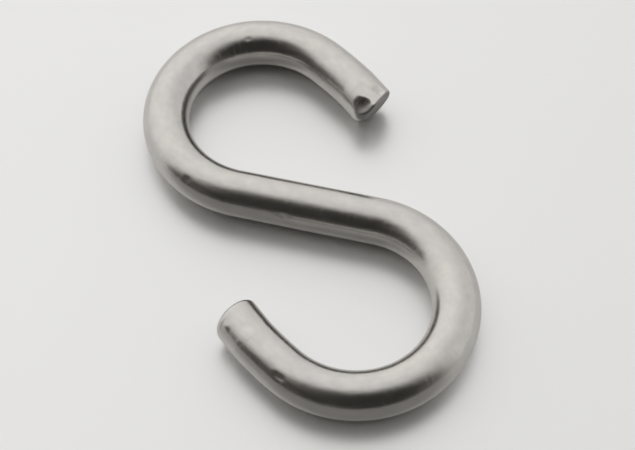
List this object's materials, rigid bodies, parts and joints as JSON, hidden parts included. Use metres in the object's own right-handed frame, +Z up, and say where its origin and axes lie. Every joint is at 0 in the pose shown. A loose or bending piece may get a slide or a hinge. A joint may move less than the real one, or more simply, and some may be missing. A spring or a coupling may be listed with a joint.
{
  "type": "s hook",
  "caption": "Flat S hook bent from one round stainless bar, with an open eye at each end.",
  "frame": {"origin": "under the middle of the straight bar between the two eyes, on the face the hook lies on", "axes": "+Y from eye to eye towards the upper eye, whose tail ends at +X; +Z up from the face it lies on"},
  "size_m": [0.0342, 0.0614, 0.006],
  "materials": {
    "bar": "satin drawn stainless bar, with fine scratches, small dings and cropped ends"
  },
  "bodies": {
    "root": {"hook": "bar"}
  },
  "joints": []
}
